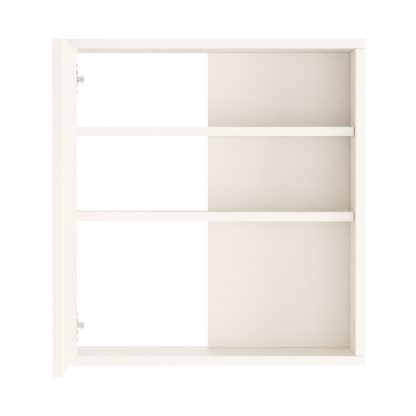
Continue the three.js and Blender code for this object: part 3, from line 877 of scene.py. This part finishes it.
def arm(level):
    """The hinge arm: a channel section carried along the arm while its crown and its feet follow
    the crank. The section is an arch with rounded shoulders, as thick as the sheet. A small
    bulkhead stiffens it where the crank begins."""
    place = hinge_places(level)
    corner = place["corner"]
    stations = np.linspace(ARM_CROWN[0, 0], ARM_CROWN[-1, 0], 91)
    crowns = softened(np.interp(stations, *ARM_CROWN.T), 10)
    feet = softened(np.interp(stations, *ARM_FEET.T), 10)
    section = arm_section()
    rings = []
    for along, crown, foot in zip(stations, crowns, feet):
        x = np.where(section[:, 1] > 0, crown + section[:, 2], foot)
        rings.append(corner + np.stack([x, np.full(len(x), along), section[:, 0]], axis=-1))
    piece = make_piece(f"{level}_hinge_arm_detail", [closed_grid(rings)])
    point_outwards(piece)
    cut(piece, [box_cutter(corner + BULKHEAD_LOW, corner + BULKHEAD_HIGH)], "UNION")
    screws = [f"{level}_hinge_{name}_screw" for name in ("adjusting", "clamping")]
    holes = [bore_cutter(place["arm_pin"] + Z * 8 * MM, -Z, 1.2 * MM, 17 * MM, 24)]
    for node in screws:
        at, _ = node_axis(node, -X)
        at[0] = corner[0] + 15.5 * MM
        holes.append(bore_cutter(at, -X, 3.5 * MM, 4 * MM, 40))
    cut(piece, holes)
    finish_piece(piece, [f"{level}_hinge_arm"], "carcass", "nickel")
    plain_pin(f"{level}_hinge_arm_pin", "carcass")
    for node in screws:
        screw(node, -X, "carcass", **ARM_SCREW)


def arm_section():
    """The arm's section, an arch as thick as the sheet with round shoulders outside and in. Each row
    is a distance across, whether it follows the crown (1) or the feet (0), and its drop from the
    crown."""

    def arch(half, shoulder, top, steps):
        bend = np.radians(np.linspace(0, 90, steps))
        rows = [(-half, 0, 0)]
        rows += [(-half + shoulder * (1 - math.cos(t)), 1, top - shoulder * (1 - math.sin(t))) for t in bend]
        return rows + [(-across, follows, drop) for across, follows, drop in reversed(rows)]

    outer = arch(ARM_HALF_WIDTH, 2.0 * MM, 0, 7)
    inner = arch(ARM_HALF_WIDTH - SHEET, 0.7 * MM, -SHEET, 4)
    return np.array(outer + inner[::-1])


def point_outwards(piece):
    """Points a closed shell's faces outwards."""
    work = bmesh.new()
    work.from_mesh(piece.data)
    bmesh.ops.recalc_face_normals(work, faces=work.faces)
    work.to_mesh(piece.data)
    work.free()


def mounting_plate(level):
    """The cross-shaped mounting plate: a wing with a screw at each end and the rib under the arm."""
    node = f"{level}_hinge_plate"
    low, high = box_of(node)
    corner = hinge_places(level)["corner"]
    wing_y, wing_half, wing_height = corner[1] + 57 * MM, 6 * MM, 3.0 * MM
    outline = rounded_rectangle((wing_y - wing_half, low[2]), (wing_y + wing_half, high[2]), 5.6 * MM, 12)
    wing = slab(outline, low[0], corner[0] + wing_height, 0.5 * MM, PLACE["x"])
    piece = make_piece(node + "_detail", [wing])
    rib_half = 3.75 * MM
    outline = rounded_rectangle((low[1], corner[2] - rib_half), (high[1], corner[2] + rib_half), 1.4 * MM, 8)
    rib = slab(outline, low[0] + 0.02 * MM, high[0], 0.5 * MM, PLACE["x"])
    cut(piece, [make_piece("rib", [rib])], "UNION")
    screws = [f"{level}_hinge_plate_screw_{end}" for end in ENDS]
    cutters = [screw_cutter(name, -X, *PLATE_COUNTERSINK, 6 * MM) for name in screws]
    for name in ("adjusting", "clamping"):
        start, _ = node_axis(f"{level}_hinge_{name}_screw", -X)
        cutters.append(bore_cutter(start, -X, 2.3 * MM, 13 * MM, 24))
    cut(piece, cutters)
    finish_piece(piece, [node], "carcass", "zinc_steel")
    for name in screws:
        screw(name, -X, "carcass", **PLATE_SCREW)


def hinges():
    for level in HINGES:
        cup(level)
        link(level)
        arm(level)
        mounting_plate(level)


# ---- Room: pale floor, soft light and the camera ----

LIGHT_SIZE = 1.8
WHITE = 2.5  # the scene value that comes out as white
# Tone curves, as pairs of the value that comes in and the value shown. The shoulder's values in are
# scene values. The warm curves act first, on green and blue, and theirs are already divided by WHITE.
SHOULDER = ((0.25, 0.30), (0.45, 0.51), (0.7, 0.69), (1.0, 0.82), (1.5, 0.935))
WARM_GREEN = ((0.2, 0.2), (0.4, 0.385), (0.57, 0.53), (0.8, 0.78))
WARM_BLUE = ((0.2, 0.2), (0.3, 0.286), (0.4, 0.366), (0.53, 0.455), (0.75, 0.68))


def pale_floor():
    """A wide disc of pale floor well below the hung cabinet."""
    radius, drop, sides = 6.0, 0.90, 96
    angle = np.linspace(0, 2 * math.pi, sides, endpoint=False)
    centre = np.array([0.0, -0.6, cad_box[0][2] - drop])
    rim = centre + radius * np.stack([np.cos(angle), np.sin(angle), 0 * angle], axis=-1)
    mesh = bpy.data.meshes.new("floor")
    mesh.from_pydata(rim.tolist(), [], [tuple(range(sides))])
    floor = bpy.data.objects.new("floor", mesh)
    bpy.context.scene.collection.objects.link(floor)
    material, tree, shader, place = new_material("pale_floor")
    clouds = add_group(tree, "mottle", Vector=place, Scale=2.0, Spread=0.1)
    tone = add_ramp(tree, add_math(tree, "ADD", clouds, 0.5), (0.93, 0.93, 0.925), (0.96, 0.96, 0.955))
    tree.links.new(tone, shader.inputs["Base Color"])
    shader.inputs["Roughness"].default_value = 0.9
    mesh.materials.append(material)


def white_room(strength, backdrop):
    """A white surround: soft all-round light of one strength, seen by the camera as a brighter
    plain white backdrop."""
    world = bpy.data.worlds.new("white_room")
    world.use_nodes = True
    tree = world.node_tree
    tree.nodes.clear()
    seen = add_node(tree, "ShaderNodeLightPath").outputs["Is Camera Ray"]
    light = add_node(tree, "ShaderNodeBackground", {"Color": (1.0, 0.995, 0.985, 1), "Strength": strength})
    plain = add_node(tree, "ShaderNodeBackground", {"Color": (1.0, 1.0, 1.0, 1), "Strength": backdrop})
    mixed = add_node(tree, "ShaderNodeMixShader", {0: seen, 1: light.outputs[0], 2: plain.outputs[0]})
    add_node(tree, "ShaderNodeOutputWorld", {0: mixed.outputs[0]})
    bpy.context.scene.world = world


def soft_light(name, place, target, power):
    """A round studio light of one size, turned towards a target and unseen by the camera."""
    light = bpy.data.lights.new(name, "AREA")
    light.shape = "DISK"
    light.size = LIGHT_SIZE
    light.energy = power
    lamp = bpy.data.objects.new(name, light)
    lamp.location = place
    lamp.visible_camera = False
    lamp.rotation_euler = (Vector(target) - Vector(place)).to_track_quat("-Z", "Y").to_euler()
    bpy.context.scene.collection.objects.link(lamp)


def camera():
    """The viewpoint: 5.6 m in front of the cabinet's front plane, above its middle, on a long lens."""
    distance, focal_length = 5.6, 248.1
    eye_height, target_height, target_x = 0.417, 0.309, -0.0078
    underside = cad_box[0][2]
    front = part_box("top_panel")[0][1]
    lens = bpy.data.cameras.new("camera")
    lens.sensor_width = 36.0
    lens.lens = focal_length
    lens.clip_end = 100
    eye = bpy.data.objects.new("camera", lens)
    eye.location = (0.0, front - distance, underside + eye_height)
    target = Vector((target_x, front, underside + target_height))
    eye.rotation_euler = (target - eye.location).to_track_quat("-Z", "Y").to_euler()
    bpy.context.scene.collection.objects.link(eye)
    bpy.context.scene.camera = eye


def soft_highlights():
    """The standard view with a shoulder: tones over the middle are drawn together towards a white
    that they reach a little later in green and blue, which keeps the board's warmth."""
    settings = bpy.context.scene.view_settings
    settings.view_transform = "Standard"
    settings.use_curve_mapping = True
    mapping = settings.curve_mapping
    mapping.white_level = (WHITE,) * 3
    for seen, shown in SHOULDER:
        mapping.curves[3].points.new(seen / WHITE, shown)
    for channel, points in ((1, WARM_GREEN), (2, WARM_BLUE)):
        for seen, shown in points:
            mapping.curves[channel].points.new(seen, shown)
    mapping.update()


top_and_bottom()
side_panels()
shelves_and_back()
door()
hinges()
pale_floor()
white_room(0.64, 3.0)
soft_light("front", (0.85, -4.2, -0.55), (0.0, -0.3, -0.45), 51)
soft_light("right_front", (2.828, -3.128, -0.45), (0.0, -0.3, -0.4), 76)
soft_light("right", (3.97, -0.85, 0.04), (0.0, -0.3, -0.31), 112)
soft_light("behind", (-0.4, 3.6, 0.38), (0.0, -0.3, -0.31), 18)
camera()
soft_highlights()
